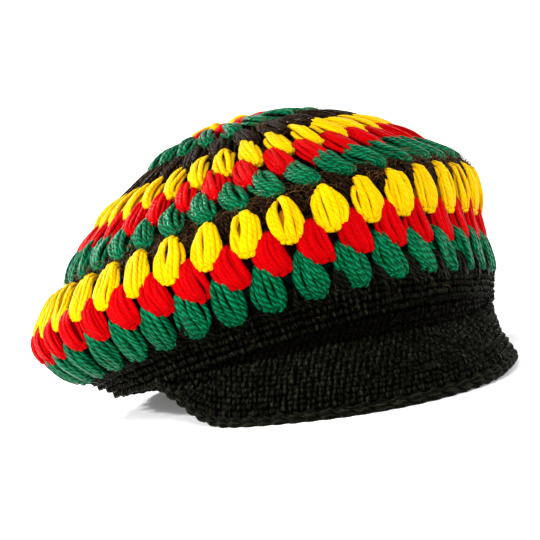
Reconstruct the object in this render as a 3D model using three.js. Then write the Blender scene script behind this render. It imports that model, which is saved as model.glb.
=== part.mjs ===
// A crocheted rasta tam with a peak, in millimetres, +Z up.
// Twelve rounds of puff stitches make the crown, each round one colour of yarn.
// The last round is gathered into a close crocheted headband, and a soft peak with a corded edge
// grows from the front of the band. The hat faces -Y and rests on the edge of its peak and on the
// back of its band, so the whole of it is pitched back a little.
import * as THREE from 'three';

const DEG = Math.PI / 180;

// Driving sizes
const GAP = 0.5; // between two neighbouring pieces
const REST_PITCH = 6.4 * DEG; // tilt of the resting hat, front up
const REST_ROLL = 1.7 * DEG; // and wearer's right side up
const SETTLE = 0.6; // how far the soft edges press flat where they rest
const BAND_HALF_WIDTH = 88; // outside of the band, across the head
const BAND_HALF_LENGTH = 100; // outside of the band, front to back
const BAND_HEIGHT = 19;
const BAND_WALL = 4.5;
const BAND_COLUMNS = 64;
const OVERHANG_SIDE = 20; // of the widest round past the band, across the head
const OVERHANG_LENGTH = 8; // the same, front to back
const CROWN_HEIGHT = 123; // from the band's lower edge to the centre of the crown
const CROWN_SLOUCH = 17; // how far the crown's centre sags towards the back
const CROWN_SWAY = 14; // how far the widest round sags towards the wearer's right
const CROWN_SAG = 5; // how far the sides of a round hang below its front
const ROUND_TWIST = -1.9 * DEG; // turn of the stitches from one round to the next
const FIRST_TURN = 6.6 * DEG; // turn of the lowest round
const HEM_DROP = 6.5; // how far the lowest round rolls down below its middle
const HEM_CLEAR = 2.5; // from the band to the underside of that roll
const HEM_TUCK = 0.6; // how far the roll curls back in, as a share of its overhang
const CROWN_WALL = 7; // from the crest of a puff to the inside
const FOOT_WALL = 5; // the same, low on the crown
const PUFF_RELIEF = 4.5; // height of a puff over the valley beside it
const PUFF_SINK = 3; // how far the closed ends of a puff lie below its crest
const PUFF_OVERLAP = 0.25; // how far a puff reaches into the next rounds, in rounds
const PUFF_SHOULDER = 0.24; // from the middle of a puff to its shoulder, in rounds
const PUFF_WAIST = 0.1; // from the middle of the valley to its shoulder, in rounds
const PEAK_HALF_ANGLE = 70 * DEG; // from the front to each end of the peak
const PEAK_REACH = 36.5; // out from the band to the middle of its cord, at the front
const PEAK_DROP = 24; // from the band's lower edge down to the middle of its cord
const PEAK_THICKNESS = 5;
const PEAK_CAMBER = 3; // rise of the peak over a straight line from band to cord
const PEAK_PLATE_SHARE = 0.92; // of the half angle, as far as the flat of the peak goes
const PEAK_COLUMNS = 24;
const PEAK_ROWS = 5;
const CORD_DIAMETER = 6; // the corded edge of the peak
const CORD_STITCHES = 38;
const CORD_RELIEF = 0.8; // height of one stitch of the cord over the nick beside it
const CORD_SIDES = 6;

const yarns = {
  black: { color: '#1b120e', roughness: 0.95 },
  yellow: { color: '#f5c400', roughness: 0.85 },
  red: { color: '#d4060c', roughness: 0.85 },
  green: { color: '#0b6b45', roughness: 0.85 },
};
const materials = Object.fromEntries(Object.entries(yarns).map(([name, look]) => [
  name,
  new THREE.MeshStandardMaterial({ ...look, metalness: 0 }),
]));

// The rounds from the band up to the centre. Turn is a share of one puff. Radius is a share of the
// widest round, rise of the crown's height, back of its slouch and side of its sway, for the
// middle of the round. The tips are the degrees that the round falls towards the back and towards
// the wearer's right.
const rounds = [
  { yarn: 'black', puffs: 36, turn: 0, radius: 0.885, rise: 0.138, back: 0, side: 0.3, tipBack: 3.9, tipSide: 2.4 },
  { yarn: 'green', puffs: 36, turn: 0.5, radius: 0.97, rise: 0.241, back: 0.22, side: 0.81, tipBack: 3.7, tipSide: 3.4 },
  { yarn: 'red', puffs: 36, turn: 0, radius: 1.0, rise: 0.354, back: 0.45, side: 0.96, tipBack: 3.4, tipSide: 3.3 },
  { yarn: 'yellow', puffs: 36, turn: 0.5, radius: 0.985, rise: 0.459, back: 0.47, side: 0.6, tipBack: 3.7, tipSide: 3.7 },
  { yarn: 'black', puffs: 36, turn: 0, radius: 0.93, rise: 0.572, back: 0.55, side: 0.32, tipBack: 3.4, tipSide: 5.6 },
  { yarn: 'green', puffs: 36, turn: 0.5, radius: 0.826, rise: 0.67, back: 0.68, side: 0.5, tipBack: 2.3, tipSide: 6.3 },
  { yarn: 'red', puffs: 32, turn: 0.5, radius: 0.721, rise: 0.755, back: 0.79, side: 0.52, tipBack: 1.7, tipSide: 7.2 },
  { yarn: 'yellow', puffs: 32, turn: 0, radius: 0.607, rise: 0.833, back: 0.86, side: 0.58, tipBack: 1.7, tipSide: 7.9 },
  { yarn: 'black', puffs: 24, turn: 0.5, radius: 0.455, rise: 0.902, back: 0.89, side: 0.58, tipBack: 1.5, tipSide: 8.3 },
  { yarn: 'green', puffs: 18, turn: 0, radius: 0.318, rise: 0.955, back: 0.95, side: 0.7, tipBack: 0.9, tipSide: 7.5 },
  { yarn: 'red', puffs: 12, turn: 0.5, radius: 0.18, rise: 0.985, back: 1.0, side: 0.78, tipBack: 0.9, tipSide: 6.5 },
  { yarn: 'yellow', puffs: 6, turn: 0, radius: 0.065, rise: 0.997, back: 1.0, side: 0.8, tipBack: 0.5, tipSide: 5 },
];
const CENTRE = { rise: 1.0, back: 1.0, side: 0.8 };

// The outline of a round seen from above, by compass bearing in degrees from the wearer's left.
// Reach is a share of the round's radius, and lift a share of the crown's sag.
const outline = [
  { bearing: 0, reach: 1.08, lift: -0.5 },
  { bearing: 45, reach: 1.06, lift: -0.2 },
  { bearing: 90, reach: 1.07, lift: 0 },
  { bearing: 135, reach: 1.06, lift: 0 },
  { bearing: 180, reach: 1.01, lift: -0.6 },
  { bearing: 225, reach: 0.985, lift: 0.1 },
  { bearing: 270, reach: 1.06, lift: 0.6 },
  { bearing: 315, reach: 1.02, lift: 0 },
];

// Smooth interpolation through rows of numbers at the given positions.
function through(positions, rows) {
  const width = rows[0].length;
  return new THREE.CubicInterpolant(positions, rows.flat(), width, new Array(width));
}

// The middle of the cord round the peak, by share of the half angle: -1 at the wearer's right end,
// 0 at the front. Reach and drop are shares of the named sizes.
const peakEdge = [
  { share: -1, reach: 0.1, drop: -0.08 },
  { share: -0.9, reach: 0.11, drop: 0.25 },
  { share: -0.8, reach: 0.19, drop: 0.58 },
  { share: -0.65, reach: 0.38, drop: 0.82 },
  { share: -0.45, reach: 0.6, drop: 0.93 },
  { share: -0.2, reach: 0.91, drop: 1 },
  { share: 0, reach: 1, drop: 0.98 },
  { share: 0.2, reach: 0.91, drop: 0.86 },
  { share: 0.45, reach: 0.55, drop: 0.65 },
  { share: 0.65, reach: 0.33, drop: 0.64 },
  { share: 0.8, reach: 0.16, drop: 0.52 },
  { share: 0.9, reach: 0.11, drop: 0.24 },
  { share: 1, reach: 0.1, drop: -0.08 },
];

const around = [-2, -1, ...outline.keys(), outline.length, outline.length + 1];
const outlineAt = through(
  around.map((i) => i * 2 * Math.PI / outline.length),
  around.map((i) => outline[(i + outline.length) % outline.length]).map((o) => [o.reach, o.lift]),
);
const edgeAt = through(
  peakEdge.map((row) => row.share),
  peakEdge.map((row) => [row.reach, row.drop]),
);
const turned = (angle) => THREE.MathUtils.euclideanModulo(angle, 2 * Math.PI);

// A point of the band's outside at a height over its lower edge, grown outwards by a margin.
function bandPoint(angle, height, margin = 0) {
  const x = (BAND_HALF_WIDTH + margin) * Math.cos(angle);
  const y = (BAND_HALF_LENGTH + margin) * Math.sin(angle);
  return new THREE.Vector3(x, y, height);
}

// The middle of a round of the crown, at one angle.
function roundPoint(round, angle) {
  const [reach, lift] = outlineAt.evaluate(turned(angle));
  const x = (BAND_HALF_WIDTH + OVERHANG_SIDE) * round.radius * reach * Math.cos(angle);
  const y = (BAND_HALF_LENGTH + OVERHANG_LENGTH) * round.radius * reach * Math.sin(angle);
  const sag = lift * CROWN_SAG * Math.min(1, round.radius);
  const tip = x * Math.tan(round.tipSide * DEG) - y * Math.tan(round.tipBack * DEG);
  return new THREE.Vector3(
    x - round.side * CROWN_SWAY,
    y + round.back * CROWN_SLOUCH,
    round.rise * CROWN_HEIGHT + sag + tip,
  );
}

// The underside of the roll that the lowest round makes over the band.
function hemPoint(angle) {
  const middle = roundPoint(rounds[0], angle);
  const low = middle.z - HEM_DROP;
  return middle.lerp(bandPoint(angle, low, HEM_CLEAR), HEM_TUCK).setZ(low);
}

// The crown's outside as a smooth surface: level 0 is the hem, level k to k + 1 is round k, and
// the last level is the centre.
const LEVELS = rounds.length;
const levelPositions = [0, ...rounds.map((_, k) => k + 0.5), LEVELS];
const centrePoint = new THREE.Vector3(
  -CENTRE.side * CROWN_SWAY,
  CENTRE.back * CROWN_SLOUCH,
  CENTRE.rise * CROWN_HEIGHT,
);
function crownPoint(level, angle) {
  const meridian = [
    hemPoint(angle),
    ...rounds.map((round) => roundPoint(round, angle)),
    centrePoint,
  ];
  const along = through(levelPositions, meridian.map((p) => p.toArray()));
  return new THREE.Vector3(...along.evaluate(THREE.MathUtils.clamp(level, 0, LEVELS)));
}

// The same surface moved along its normal, outwards where the distance is positive.
function crownOffset(level, angle, distance) {
  const step = 0.05;
  const here = crownPoint(level, angle);
  const up = crownPoint(Math.min(level + step, LEVELS), angle)
    .sub(crownPoint(Math.max(level - step, 0), angle));
  const along = crownPoint(level, angle + step).sub(crownPoint(level, angle - step));
  return here.addScaledVector(along.cross(up).normalize(), distance);
}

// The hat is tilted so that the peak's cord and the back of the band lie in one plane, the floor.
const toRest = new THREE.Matrix4()
  .makeTranslation(0, 0, BAND_HALF_LENGTH * Math.sin(REST_PITCH) - SETTLE)
  .multiply(new THREE.Matrix4().makeRotationX(-REST_PITCH))
  .multiply(new THREE.Matrix4().makeRotationY(REST_ROLL));
function settled(point) {
  const p = point.applyMatrix4(toRest);
  p.z = Math.max(p.z, 0);
  return p;
}

// A closed body from a grid of points. Each column is a closed section whose points run
// clockwise seen against the direction of the columns. The columns close on themselves, or the
// ends are capped by a fan. The sides listed in flipped split their quads the other way.
function bodyOf(columns, { closed = true, flipped = [] } = {}) {
  const points = columns.flat().map(settled);
  const size = columns[0].length;
  const index = [];
  const quad = (a, b, c, d, flip) => {
    if (flip) index.push(a, b, d, b, c, d);
    else index.push(a, b, c, a, c, d);
  };
  const spans = closed ? columns.length : columns.length - 1;
  for (let i = 0; i < spans; i += 1) {
    const next = (i + 1) % columns.length;
    for (let j = 0; j < size; j += 1) {
      const over = (j + 1) % size;
      quad(i * size + j, next * size + j, next * size + over, i * size + over, flipped.includes(j));
    }
  }
  if (!closed) {
    const last = (columns.length - 1) * size;
    for (let j = 1; j < size - 1; j += 1) {
      index.push(0, j, j + 1);
      index.push(last, last + j + 1, last + j);
    }
  }
  const geometry = new THREE.BufferGeometry();
  geometry.setAttribute(
    'position',
    new THREE.Float32BufferAttribute(points.flatMap((p) => p.toArray()), 3),
  );
  geometry.setIndex(index);
  geometry.computeVertexNormals();
  return geometry;
}

// The level where round k meets the round above it, high over the crests of round k and low
// between them. Rounds with different numbers of puffs meet along a plain line.
function seamLevel(k, crest) {
  const meshed = k >= 0 && k < LEVELS - 1 && rounds[k].puffs === rounds[k + 1].puffs;
  const reach = meshed ? PUFF_OVERLAP : 0;
  return k + 1 + (crest ? reach : -reach);
}

// The depth of the crown's inside under its outside.
function wallAt(level) {
  return THREE.MathUtils.lerp(FOOT_WALL, CROWN_WALL, THREE.MathUtils.smoothstep(level, 0.5, 2));
}

const COLUMNS_PER_PUFF = 2;
const ROUND_PITCH = CROWN_HEIGHT / 9.5; // the least height of a round along the crown
const HALF_GAP = GAP / 2 / ROUND_PITCH;
const BOTTOM_SIDE = 1; // the side of a round's section that faces the round below

// One round of puffs: a ring with a crest at the middle of each puff and a valley beside it.
function puffRound(k) {
  const { puffs, turn } = rounds[k];
  const columns = [];
  for (let i = 0; i < puffs * COLUMNS_PER_PUFF; i += 1) {
    const crest = i % 2 === 0;
    const middle = k + 0.5;
    const top = seamLevel(k, crest) - HALF_GAP;
    const bottom = seamLevel(k - 1, !crest) + HALF_GAP;
    const half = crest ? PUFF_SHOULDER : PUFF_WAIST;
    const height = crest ? 0 : -PUFF_RELIEF;
    const angleAt = (level) => FIRST_TURN + level * ROUND_TWIST
      + (turn + i / COLUMNS_PER_PUFF) * 2 * Math.PI / puffs;
    const at = (level, distance) => crownOffset(level, angleAt(level), distance);
    const onBand = (margin) => bandPoint(angleAt(0), BAND_HEIGHT, margin);
    const foot = k === 0
      ? [hemPoint(angleAt(0)), onBand(GAP), onBand(-BAND_WALL)]
      : [at(bottom, -PUFF_SINK), at(bottom, -wallAt(bottom))];
    columns.push([
      at(top, -PUFF_SINK),
      at(middle + half, height),
      at(middle - half, height),
      ...foot,
      at(top, -wallAt(top)),
    ].reverse());
  }
  return bodyOf(columns, { flipped: [BOTTOM_SIDE] });
}

// The centre of the crown: a small rosette of puffs, closed at its middle.
function rosette(k) {
  const { puffs } = rounds[k];
  const wall = wallAt(k);
  const columns = puffs * COLUMNS_PER_PUFF;
  const points = [];
  const index = [];
  for (let i = 0; i < columns; i += 1) {
    const crest = i % 2 === 0;
    const angle = FIRST_TURN + i * 2 * Math.PI / columns;
    const sunk = crest ? 0 : -PUFF_RELIEF / 2;
    points.push(
      crownOffset(k + 0.5, angle, sunk),
      crownOffset(k + HALF_GAP, angle, -PUFF_SINK),
      crownOffset(k + HALF_GAP, angle, -wall),
    );
  }
  const outside = points.length;
  const up = new THREE.Vector3(0, 0, 1);
  points.push(centrePoint.clone().addScaledVector(up, -PUFF_SINK / 2));
  points.push(centrePoint.clone().addScaledVector(up, -wall));
  const row = COLUMNS_PER_PUFF + 1;
  for (let i = 0; i < columns; i += 1) {
    const a = i * row;
    const b = ((i + 1) % columns) * row;
    index.push(a, b, outside);
    index.push(a + 1, b + 1, b, a + 1, b, a);
    index.push(a + 2, b + 2, b + 1, a + 2, b + 1, a + 1);
    index.push(b + 2, a + 2, outside + 1);
  }
  const geometry = new THREE.BufferGeometry();
  geometry.setAttribute('position', new THREE.Float32BufferAttribute(
    points.map(settled).flatMap((p) => p.toArray()),
    3,
  ));
  geometry.setIndex(index);
  geometry.computeVertexNormals();
  return geometry;
}

// The headband: an oval wall, pressed flat under its back where it rests.
function band() {
  const columns = [];
  for (let i = 0; i < BAND_COLUMNS; i += 1) {
    const angle = i * 2 * Math.PI / BAND_COLUMNS;
    const top = BAND_HEIGHT - GAP;
    columns.push([
      bandPoint(angle, 0),
      bandPoint(angle, BAND_HEIGHT / 2, 0),
      bandPoint(angle, top),
      bandPoint(angle, top, -BAND_WALL),
      bandPoint(angle, 0, -BAND_WALL),
    ]);
  }
  return bodyOf(columns);
}

// A point of the peak, from its root on the band (0) to the middle of its cord (1).
function peakPoint(share, across) {
  const angle = -Math.PI / 2 + share * PEAK_HALF_ANGLE;
  const [reach, drop] = edgeAt.evaluate(THREE.MathUtils.clamp(share, -1, 1));
  const root = PEAK_THICKNESS / 2;
  const height = THREE.MathUtils.lerp(root, -drop * PEAK_DROP, across);
  const rise = PEAK_CAMBER * reach * 4 * across * (1 - across);
  const clear = GAP + PEAK_THICKNESS / 2 * THREE.MathUtils.smoothstep(across, 0, 0.2);
  const margin = Math.max(clear, THREE.MathUtils.lerp(GAP, reach * PEAK_REACH, across));
  return bandPoint(angle, height + rise, margin);
}

// The flat of the peak: a curved plate from the foot of the band to the cord.
function peak() {
  const step = 0.02;
  const columns = [];
  for (let i = 0; i <= PEAK_COLUMNS; i += 1) {
    const share = PEAK_PLATE_SHARE * (2 * i / PEAK_COLUMNS - 1);
    const root = peakPoint(share, 0);
    const end = 1 - (CORD_DIAMETER / 2 + GAP) / root.distanceTo(peakPoint(share, 1));
    const upper = [];
    const lower = [];
    for (let j = 0; j <= PEAK_ROWS; j += 1) {
      const across = end * j / PEAK_ROWS;
      const here = peakPoint(share, across);
      const outwards = peakPoint(share, across + step).sub(peakPoint(share, across - step));
      const sideways = peakPoint(share + step, across).sub(peakPoint(share - step, across));
      const normal = j === 0 ? new THREE.Vector3(0, 0, 1) : sideways.cross(outwards).negate();
      normal.normalize().multiplyScalar(PEAK_THICKNESS / 2);
      upper.push(here.clone().add(normal));
      lower.push(here.clone().sub(normal));
    }
    columns.push([...lower, ...upper.reverse()]);
  }
  return bodyOf(columns, { closed: false });
}

// The corded edge: a round cord of slanting stitches along the edge of the peak.
function peakCord() {
  const radius = CORD_DIAMETER / 2;
  const centre = (share) => peakPoint(share, 1);
  const columns = [];
  const spans = CORD_STITCHES * 2;
  const step = 0.01;
  for (let i = 0; i <= spans; i += 1) {
    const share = 2 * i / spans - 1;
    const nick = i % 2 === 0 ? CORD_RELIEF : 0;
    const along = centre(Math.min(share + step, 1)).sub(centre(Math.max(share - step, -1)));
    const side = along.clone().cross(new THREE.Vector3(0, 0, 1)).normalize();
    const over = side.clone().cross(along).normalize();
    const section = [];
    for (let j = 0; j < CORD_SIDES; j += 1) {
      const turn = j * 2 * Math.PI / CORD_SIDES;
      section.push(centre(share)
        .addScaledVector(side, (radius - nick) * Math.cos(turn))
        .addScaledVector(over, (radius - nick) * Math.sin(turn)));
    }
    columns.push(section);
  }
  return bodyOf(columns, { closed: false });
}

const hat = new THREE.Group();
function add(name, geometry, yarn) {
  const mesh = new THREE.Mesh(geometry, materials[yarn]);
  mesh.name = name;
  hat.add(mesh);
}

rounds.forEach(({ yarn }, k) => {
  const number = String(LEVELS - k).padStart(2, '0');
  add(`round_${number}_${yarn}`, k === LEVELS - 1 ? rosette(k) : puffRound(k), yarn);
});
add('band', band(), 'black');
add('peak', peak(), 'black');
add('peak_cord', peakCord(), 'black');

// The origin is on the floor, under the middle of the hat's box.
const box = new THREE.Box3().setFromObject(hat);
const middle = box.getCenter(new THREE.Vector3());
hat.position.set(-middle.x, -middle.y, -box.min.z);

export default hat;
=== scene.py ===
"""A crocheted rasta tam with a peak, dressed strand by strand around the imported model.

Every puff of the crown is a bundle of yarn strands laid on one smooth surface, the same one that
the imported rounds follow. The band and the peak are worked in single crochet, stitch by stitch.
Sizes are in millimetres in the band's own frame until a mesh is made, and in metres after that.
"""
import logging
import math
from dataclasses import dataclass, field
from enum import Enum

import bpy
import numpy as np
from mathutils import Matrix, Vector


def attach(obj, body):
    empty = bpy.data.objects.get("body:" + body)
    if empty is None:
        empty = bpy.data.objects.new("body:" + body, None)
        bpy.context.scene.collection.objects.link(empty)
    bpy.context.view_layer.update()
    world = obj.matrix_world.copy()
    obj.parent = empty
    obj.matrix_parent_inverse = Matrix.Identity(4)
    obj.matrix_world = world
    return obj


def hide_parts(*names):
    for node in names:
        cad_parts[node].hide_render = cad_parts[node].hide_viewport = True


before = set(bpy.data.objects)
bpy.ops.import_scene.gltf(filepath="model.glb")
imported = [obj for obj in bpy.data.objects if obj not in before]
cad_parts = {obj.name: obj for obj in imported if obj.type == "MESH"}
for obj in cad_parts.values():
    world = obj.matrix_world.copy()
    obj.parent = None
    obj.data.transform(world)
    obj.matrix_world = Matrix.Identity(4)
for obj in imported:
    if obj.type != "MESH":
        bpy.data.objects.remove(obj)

log = logging.getLogger("tam")
Array = np.ndarray


class Yarn(Enum):
    """The four yarns of the hat, each named for its material slot."""

    BLACK = "yarn_black"
    GREEN = "yarn_green"
    RED = "yarn_red"
    YELLOW = "yarn_yellow"


# Finishes


@dataclass(frozen=True)
class YarnFinish:
    """A plied wool yarn: colours in linear light, and how its surface takes light.

    The first colour is a painted shade for creases and for sides that face away, body is the
    yarn's own colour, and lit is a painted highlight.
    """

    name: str
    crease_shade: tuple[float, float, float]
    body: tuple[float, float, float]
    lit: tuple[float, float, float]
    roughness: float = 0.4
    specular: float = 0.1
    specular_tint: tuple[float, float, float] = (1.0, 1.0, 1.0)
    ply_contrast: float = 0.25
    fibre_contrast: float = 0.5
    blotch_contrast: float = 0.35
    rough_spread: float = 0.2
    bump: float = 0.8
    bump_depth: float = 0.0005
    fibre_relief: float = 0.8
    fuzz_relief: float = 0.8
    plies: float = 3.0
    ply_length: float = 10.0
    ply_wander: float = 1.2
    blotch_scale: float = 160.0
    fuzz_scale: float = 2600.0
    wander_scale: float = 190.0
    fibres_round: float = 2.2
    fibres_along: float = 0.35

    def material(self) -> bpy.types.Material:
        """Builds the yarn as a node material.

        Returns:
            The material, driven by the strand's UV (turn round it, millimetres along it) and by
            the tone that each strand carries, which holds its random tone and its painted shade.
        """
        made = bpy.data.materials.new(self.name)
        made.use_nodes = True
        made.diffuse_color = (*self.body, 1.0)
        tree = made.node_tree
        tree.nodes.clear()
        out = tree.nodes.new("ShaderNodeOutputMaterial")
        shader = tree.nodes.new("ShaderNodeBsdfPrincipled")
        tree.links.new(shader.outputs["BSDF"], out.inputs["Surface"])
        shader.inputs["Specular IOR Level"].default_value = self.specular
        shader.inputs["Specular Tint"].default_value = (*self.specular_tint, 1.0)

        ply = self._ply_wave(tree)
        fibre = self._fibre(tree)
        blotch = self._noise(tree, self.blotch_scale, 3.0)
        # The colour runs from the painted shade through the yarn's own colour to the painted
        # highlight: painted shade in the ply grooves, painted highlight on the ply crests, with
        # random fibre and blotch mottle
        ramp = tree.nodes.new("ShaderNodeValToRGB")
        ramp.color_ramp.elements[0].color = (*self.crease_shade, 1.0)
        ramp.color_ramp.elements[0].position = 0.0
        ramp.color_ramp.elements[1].color = (*self.lit, 1.0)
        ramp.color_ramp.elements[1].position = 1.0
        middle = ramp.color_ramp.elements.new(0.5)
        middle.color = (*self.body, 1.0)
        share = self._maths(tree, "MULTIPLY", ply, self.ply_contrast)
        share = self._maths(tree, "MULTIPLY_ADD", fibre, self.fibre_contrast, share)
        share = self._maths(tree, "MULTIPLY_ADD", blotch, self.blotch_contrast, share)
        contrast = self.ply_contrast + self.fibre_contrast + self.blotch_contrast
        share = self._maths(tree, "ADD", share, (1 - contrast) / 2)
        tree.links.new(share, ramp.inputs["Fac"])
        # Painted shade: the tone's green share pulls the colour to the painted crease shade, and
        # its red share scales it by random tone and by painted shade on dark bodies
        tone = tree.nodes.new("ShaderNodeAttribute")
        tone.attribute_name = "tone"
        parts = tree.nodes.new("ShaderNodeSeparateColor")
        tree.links.new(tone.outputs["Color"], parts.inputs["Color"])
        painted_shade_mix = tree.nodes.new("ShaderNodeMix")
        painted_shade_mix.data_type = "RGBA"
        tree.links.new(parts.outputs["Green"], painted_shade_mix.inputs["Factor"])
        tree.links.new(ramp.outputs["Color"], painted_shade_mix.inputs["A"])
        painted_shade_mix.inputs["B"].default_value = (*self.crease_shade, 1.0)
        bright = tree.nodes.new("ShaderNodeVectorMath")
        bright.operation = "SCALE"
        tree.links.new(painted_shade_mix.outputs["Result"], bright.inputs[0])
        tree.links.new(parts.outputs["Red"], bright.inputs["Scale"])
        tree.links.new(bright.outputs[0], shader.inputs["Base Color"])

        least = self.roughness - self.rough_spread / 2
        rough = self._maths(tree, "MULTIPLY_ADD", fibre, self.rough_spread, least)
        tree.links.new(rough, shader.inputs["Roughness"])
        height = self._maths(tree, "MULTIPLY_ADD", fibre, self.fibre_relief, ply)
        fuzz = self._noise(tree, self.fuzz_scale, 2.0)
        height = self._maths(tree, "MULTIPLY_ADD", fuzz, self.fuzz_relief, height)
        bump = tree.nodes.new("ShaderNodeBump")
        bump.inputs["Strength"].default_value = self.bump
        bump.inputs["Distance"].default_value = self.bump_depth
        tree.links.new(height, bump.inputs["Height"])
        tree.links.new(bump.outputs["Normal"], shader.inputs["Normal"])
        return made

    @staticmethod
    def _maths(tree: bpy.types.NodeTree, kind: str, first: object, *rest: object) -> object:
        """Adds a maths node.

        Args:
            tree: The node tree.
            kind: Blender's name for the operation.
            first: Its first input, a socket or a number.
            rest: Its other inputs.

        Returns:
            The output socket.
        """
        node = tree.nodes.new("ShaderNodeMath")
        node.operation = kind
        for slot, value in zip(node.inputs, (first, *rest)):
            if isinstance(value, (int, float)):
                slot.default_value = value
            else:
                tree.links.new(value, slot)
        return node.outputs[0]

    def _strand(self, tree: bpy.types.NodeTree) -> tuple[object, object]:
        """Returns the sockets of the turn round the strand and the length along it."""
        coords = tree.nodes.new("ShaderNodeUVMap")
        coords.uv_map = "strand"
        split = tree.nodes.new("ShaderNodeSeparateXYZ")
        tree.links.new(coords.outputs["UV"], split.inputs[0])
        return split.outputs[0], split.outputs[1]

    def _ply_wave(self, tree: bpy.types.NodeTree) -> object:
        """Returns a 0 to 1 wave that winds round the strand as its plies do."""
        turn, along = self._strand(tree)
        phase = self._maths(tree, "MULTIPLY", turn, self.plies)
        phase = self._maths(tree, "MULTIPLY_ADD", along, self.plies / self.ply_length, phase)
        wander = self._noise(tree, self.wander_scale, 1.0)
        phase = self._maths(tree, "MULTIPLY_ADD", wander, self.ply_wander, phase)
        phase = self._maths(tree, "MULTIPLY", phase, 2 * math.pi)
        wave = self._maths(tree, "SINE", phase)
        return self._maths(tree, "MULTIPLY_ADD", wave, 0.5, 0.5)

    def _fibre(self, tree: bpy.types.NodeTree) -> object:
        """Returns fine noise drawn out along the strand's twist, for its single fibres."""
        turn, along = self._strand(tree)
        wound = self._maths(tree, "MULTIPLY_ADD", along, 1.0 / self.ply_length, turn)
        wound = self._maths(tree, "MULTIPLY", wound, 2 * math.pi)
        joined = tree.nodes.new("ShaderNodeCombineXYZ")
        for slot, kind in enumerate(("COSINE", "SINE")):
            swing = self._maths(tree, "MULTIPLY", self._maths(tree, kind, wound), self.fibres_round)
            tree.links.new(swing, joined.inputs[slot])
        tree.links.new(self._maths(tree, "MULTIPLY", along, self.fibres_along), joined.inputs[2])
        noise = tree.nodes.new("ShaderNodeTexNoise")
        noise.inputs["Scale"].default_value = 2.0
        noise.inputs["Detail"].default_value = 3.0
        tree.links.new(joined.outputs[0], noise.inputs["Vector"])
        return noise.outputs["Fac"]

    @staticmethod
    def _noise(tree: bpy.types.NodeTree, scale: float, detail: float) -> object:
        """Returns plain noise in the object's own space, at a scale for each metre."""
        coords = tree.nodes.new("ShaderNodeTexCoord")
        noise = tree.nodes.new("ShaderNodeTexNoise")
        noise.inputs["Scale"].default_value = scale
        noise.inputs["Detail"].default_value = detail
        tree.links.new(coords.outputs["Object"], noise.inputs["Vector"])
        return noise.outputs["Fac"]


@dataclass(frozen=True)
class PaleFinish:
    """The matt white paper of the studio, which glows more away from the hat.

    Glow holds the least and greatest distance from the hat, and the glow at each.
    """

    name: str = "paper_white"
    shade: float = 0.93
    mottle: float = 0.01
    mottle_scale: float = 6.0
    glow: tuple[float, float, float, float] = (0.2, 1.2, 0.12, 0.5)

    def material(self) -> bpy.types.Material:
        """Returns a matt white with a barely visible mottle."""
        made = bpy.data.materials.new(self.name)
        made.use_nodes = True
        tree = made.node_tree
        shader = tree.nodes["Principled BSDF"]
        shader.inputs["Roughness"].default_value = 0.95
        shader.inputs["Specular IOR Level"].default_value = 0.0
        noise = tree.nodes.new("ShaderNodeTexNoise")
        noise.inputs["Scale"].default_value = self.mottle_scale
        ramp = tree.nodes.new("ShaderNodeValToRGB")
        low, high = self.shade - self.mottle, self.shade + self.mottle
        ramp.color_ramp.elements[0].color = (low, low, low, 1.0)
        ramp.color_ramp.elements[1].color = (high, high, high, 1.0)
        tree.links.new(noise.outputs["Fac"], ramp.inputs["Fac"])
        tree.links.new(ramp.outputs["Color"], shader.inputs["Base Color"])
        place = tree.nodes.new("ShaderNodeTexCoord")
        length = tree.nodes.new("ShaderNodeVectorMath")
        length.operation = "LENGTH"
        tree.links.new(place.outputs["Object"], length.inputs[0])
        glow = tree.nodes.new("ShaderNodeMapRange")
        for slot, value in zip(("From Min", "From Max", "To Min", "To Max"), self.glow):
            glow.inputs[slot].default_value = value
        tree.links.new(length.outputs["Value"], glow.inputs["Value"])
        shader.inputs["Emission Color"].default_value = (1.0, 1.0, 1.0, 1.0)
        tree.links.new(glow.outputs["Result"], shader.inputs["Emission Strength"])
        return made


# The shape that everything lies on


@dataclass(frozen=True)
class Rest:
    """How the hat, drawn upright on its band, is tilted to rest on the floor."""

    pitch: float = math.radians(6.4)
    roll: float = math.radians(1.7)
    shift: tuple[float, float, float] = (6.4915, 6.9499, 10.547)

    def settle(self, points: Array) -> Array:
        """Moves points of the upright hat to where the resting hat has them.

        Args:
            points: Points in millimetres in the band's frame, on the last axis.

        Returns:
            The points in metres in the row frame, none below the floor.
        """
        cp, sp = math.cos(self.pitch), math.sin(self.pitch)
        cr, sr = math.cos(self.roll), math.sin(self.roll)
        pitched = np.array([[1, 0, 0], [0, cp, sp], [0, -sp, cp]])
        rolled = np.array([[cr, 0, sr], [0, 1, 0], [-sr, 0, cr]])
        moved = points @ (pitched @ rolled).T + np.array(self.shift)
        moved[..., 2] = np.maximum(moved[..., 2], 0.0)
        return moved / 1000.0


@dataclass(frozen=True)
class RoundPlan:
    """One round of the crown: its yarn, its puffs and the tilted oval that it follows.

    Turn is a share of one puff, radius of the widest round, rise of the crown's height, back of
    its slouch and side of its sway. The tips are the degrees that the round falls towards the back
    and towards the wearer's right.
    """

    yarn: Yarn
    puffs: int
    turn: float
    radius: float
    rise: float
    back: float
    side: float
    tip_back: float
    tip_side: float


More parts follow.
